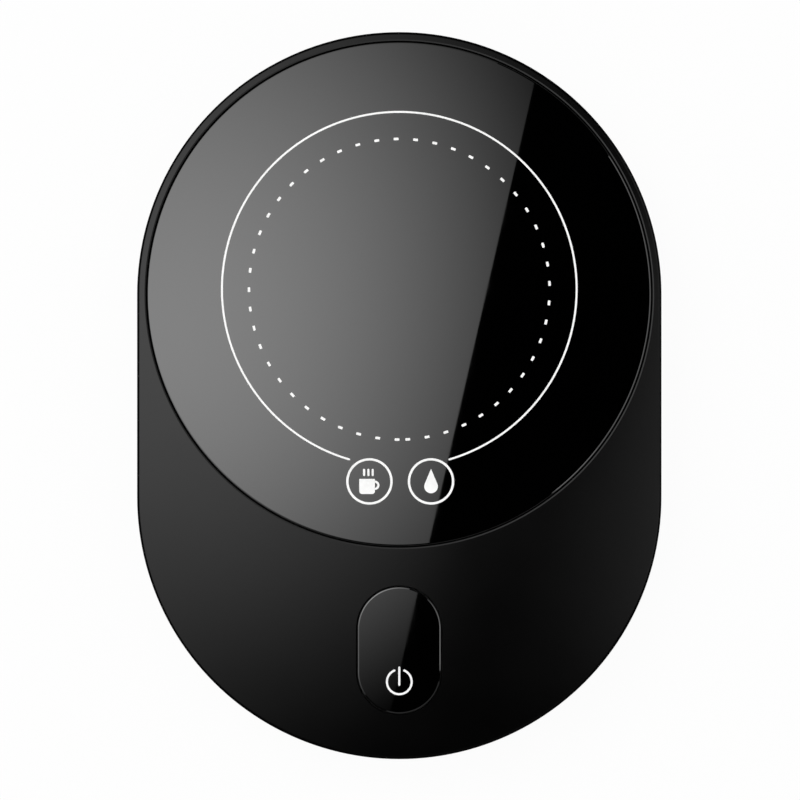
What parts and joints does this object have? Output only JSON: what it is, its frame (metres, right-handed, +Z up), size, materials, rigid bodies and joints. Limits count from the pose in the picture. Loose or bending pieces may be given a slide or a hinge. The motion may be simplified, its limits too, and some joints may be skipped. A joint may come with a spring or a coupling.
{
  "type": "electric mug warmer",
  "caption": "Low stadium-shaped housing with a flush round heated glass plate for a mug, a push button at the front and a USB-C power inlet at the rear.",
  "frame": {"origin": "under the middle of the housing, on the table that its feet stand on", "axes": "+Z up through the glass plate, +Y to the rear end, where the plate and the power inlet are, +X to the right as the button end faces the user"},
  "size_m": [0.104, 0.1442, 0.02],
  "materials": {
    "housing_plastic": "moulded black plastic, smooth satin with a very fine texture",
    "base_plastic": "moulded black plastic, fine spark texture",
    "foot_rubber": "dark grey rubber",
    "zinc_steel": "zinc-plated steel",
    "plate_glass": "black tempered glass, polished",
    "white_enamel": "white fired enamel print",
    "seal_silicone": "black silicone",
    "spreader_metal": "rolled aluminium",
    "heater_film": "amber polyimide film",
    "heater_track": "etched resistance foil",
    "ceramic_fibre": "white ceramic fibre felt",
    "pan_steel": "pressed galvanised steel",
    "sensor_ceramic": "cream ceramic bead",
    "fuse_brass": "plated brass case",
    "button_plastic": "black plastic, smoother than the housing",
    "symbol_white": "white light-passing symbol",
    "clear_guide": "clear light guide",
    "frame_plastic": "dark moulded plastic",
    "spring_steel": "spring steel wire",
    "component_black": "black moulded component",
    "plunger_plastic": "ivory plastic",
    "board_laminate": "green solder mask on glass-fibre board",
    "capacitor_can": "sleeved aluminium can",
    "resistor_ceramic": "dark ceramic chips",
    "led_lens": "clear lens on a white base",
    "connector_nylon": "natural nylon",
    "socket_steel": "drawn stainless sleeve",
    "tongue_plastic": "black glass-filled plastic",
    "contact_gold": "gold-plated contacts",
    "wire_red": "red silicone insulation",
    "wire_white": "white silicone insulation",
    "wire_grey": "dark grey insulation"
  },
  "bodies": {
    "housing": {"upper_shell": "housing_plastic", "base_cover": "base_plastic", "foot_front_left": "foot_rubber", "foot_front_right": "foot_rubber", "foot_rear_left": "foot_rubber", "foot_rear_right": "foot_rubber", "base_screws": "zinc_steel", "glass_plate": "plate_glass", "plate_markings": "white_enamel", "plate_gasket": "seal_silicone", "heat_spreader": "spreader_metal", "heater_film": "heater_film", "heater_track": "heater_track", "insulation_pad": "ceramic_fibre", "clamp_pan": "pan_steel", "clamp_screws": "zinc_steel", "temperature_sensor": "sensor_ceramic", "thermal_fuse": "fuse_brass", "button_frame": "frame_plastic", "frame_screws": "zinc_steel", "button_spring_left": "spring_steel", "button_spring_right": "spring_steel", "switch_body": "component_black", "control_board": "board_laminate", "board_screws": "zinc_steel", "processor_chip": "component_black", "power_transistor": "component_black", "board_capacitor": "capacitor_can", "chip_resistors": "resistor_ceramic", "status_led": "led_lens", "wire_connectors": "connector_nylon", "inlet_board": "board_laminate", "inlet_screws": "zinc_steel", "inlet_chip": "component_black", "inlet_connector": "connector_nylon", "inlet_socket": "socket_steel", "inlet_tongue": "tongue_plastic", "inlet_contacts": "contact_gold", "power_wires": "wire_red", "heater_wires": "wire_white", "sensor_wires": "wire_grey"},
    "power_button": {"button_cap": "button_plastic", "button_symbol": "symbol_white", "light_guide": "clear_guide"},
    "plunger": {"switch_plunger": "plunger_plastic"}
  },
  "joints": [
    {"name": "button_press", "type": "slide", "parent": "housing", "child": "power_button", "axis": [0, 0, -1], "range_m": [0, 0.001], "stiffness_N_per_m": 1000, "springref_m": -0.001, "deforming": ["button_spring_left", "button_spring_right"]},
    {"name": "switch_press", "type": "slide", "parent": "housing", "child": "plunger", "axis": [0, 0, -1], "range_m": [0, 0.001], "stiffness_N_per_m": 200, "springref_m": -0.001}
  ],
  "couplings": [
    {"joint": "switch_press", "follows": "button_press", "ratio": 1}
  ]
}
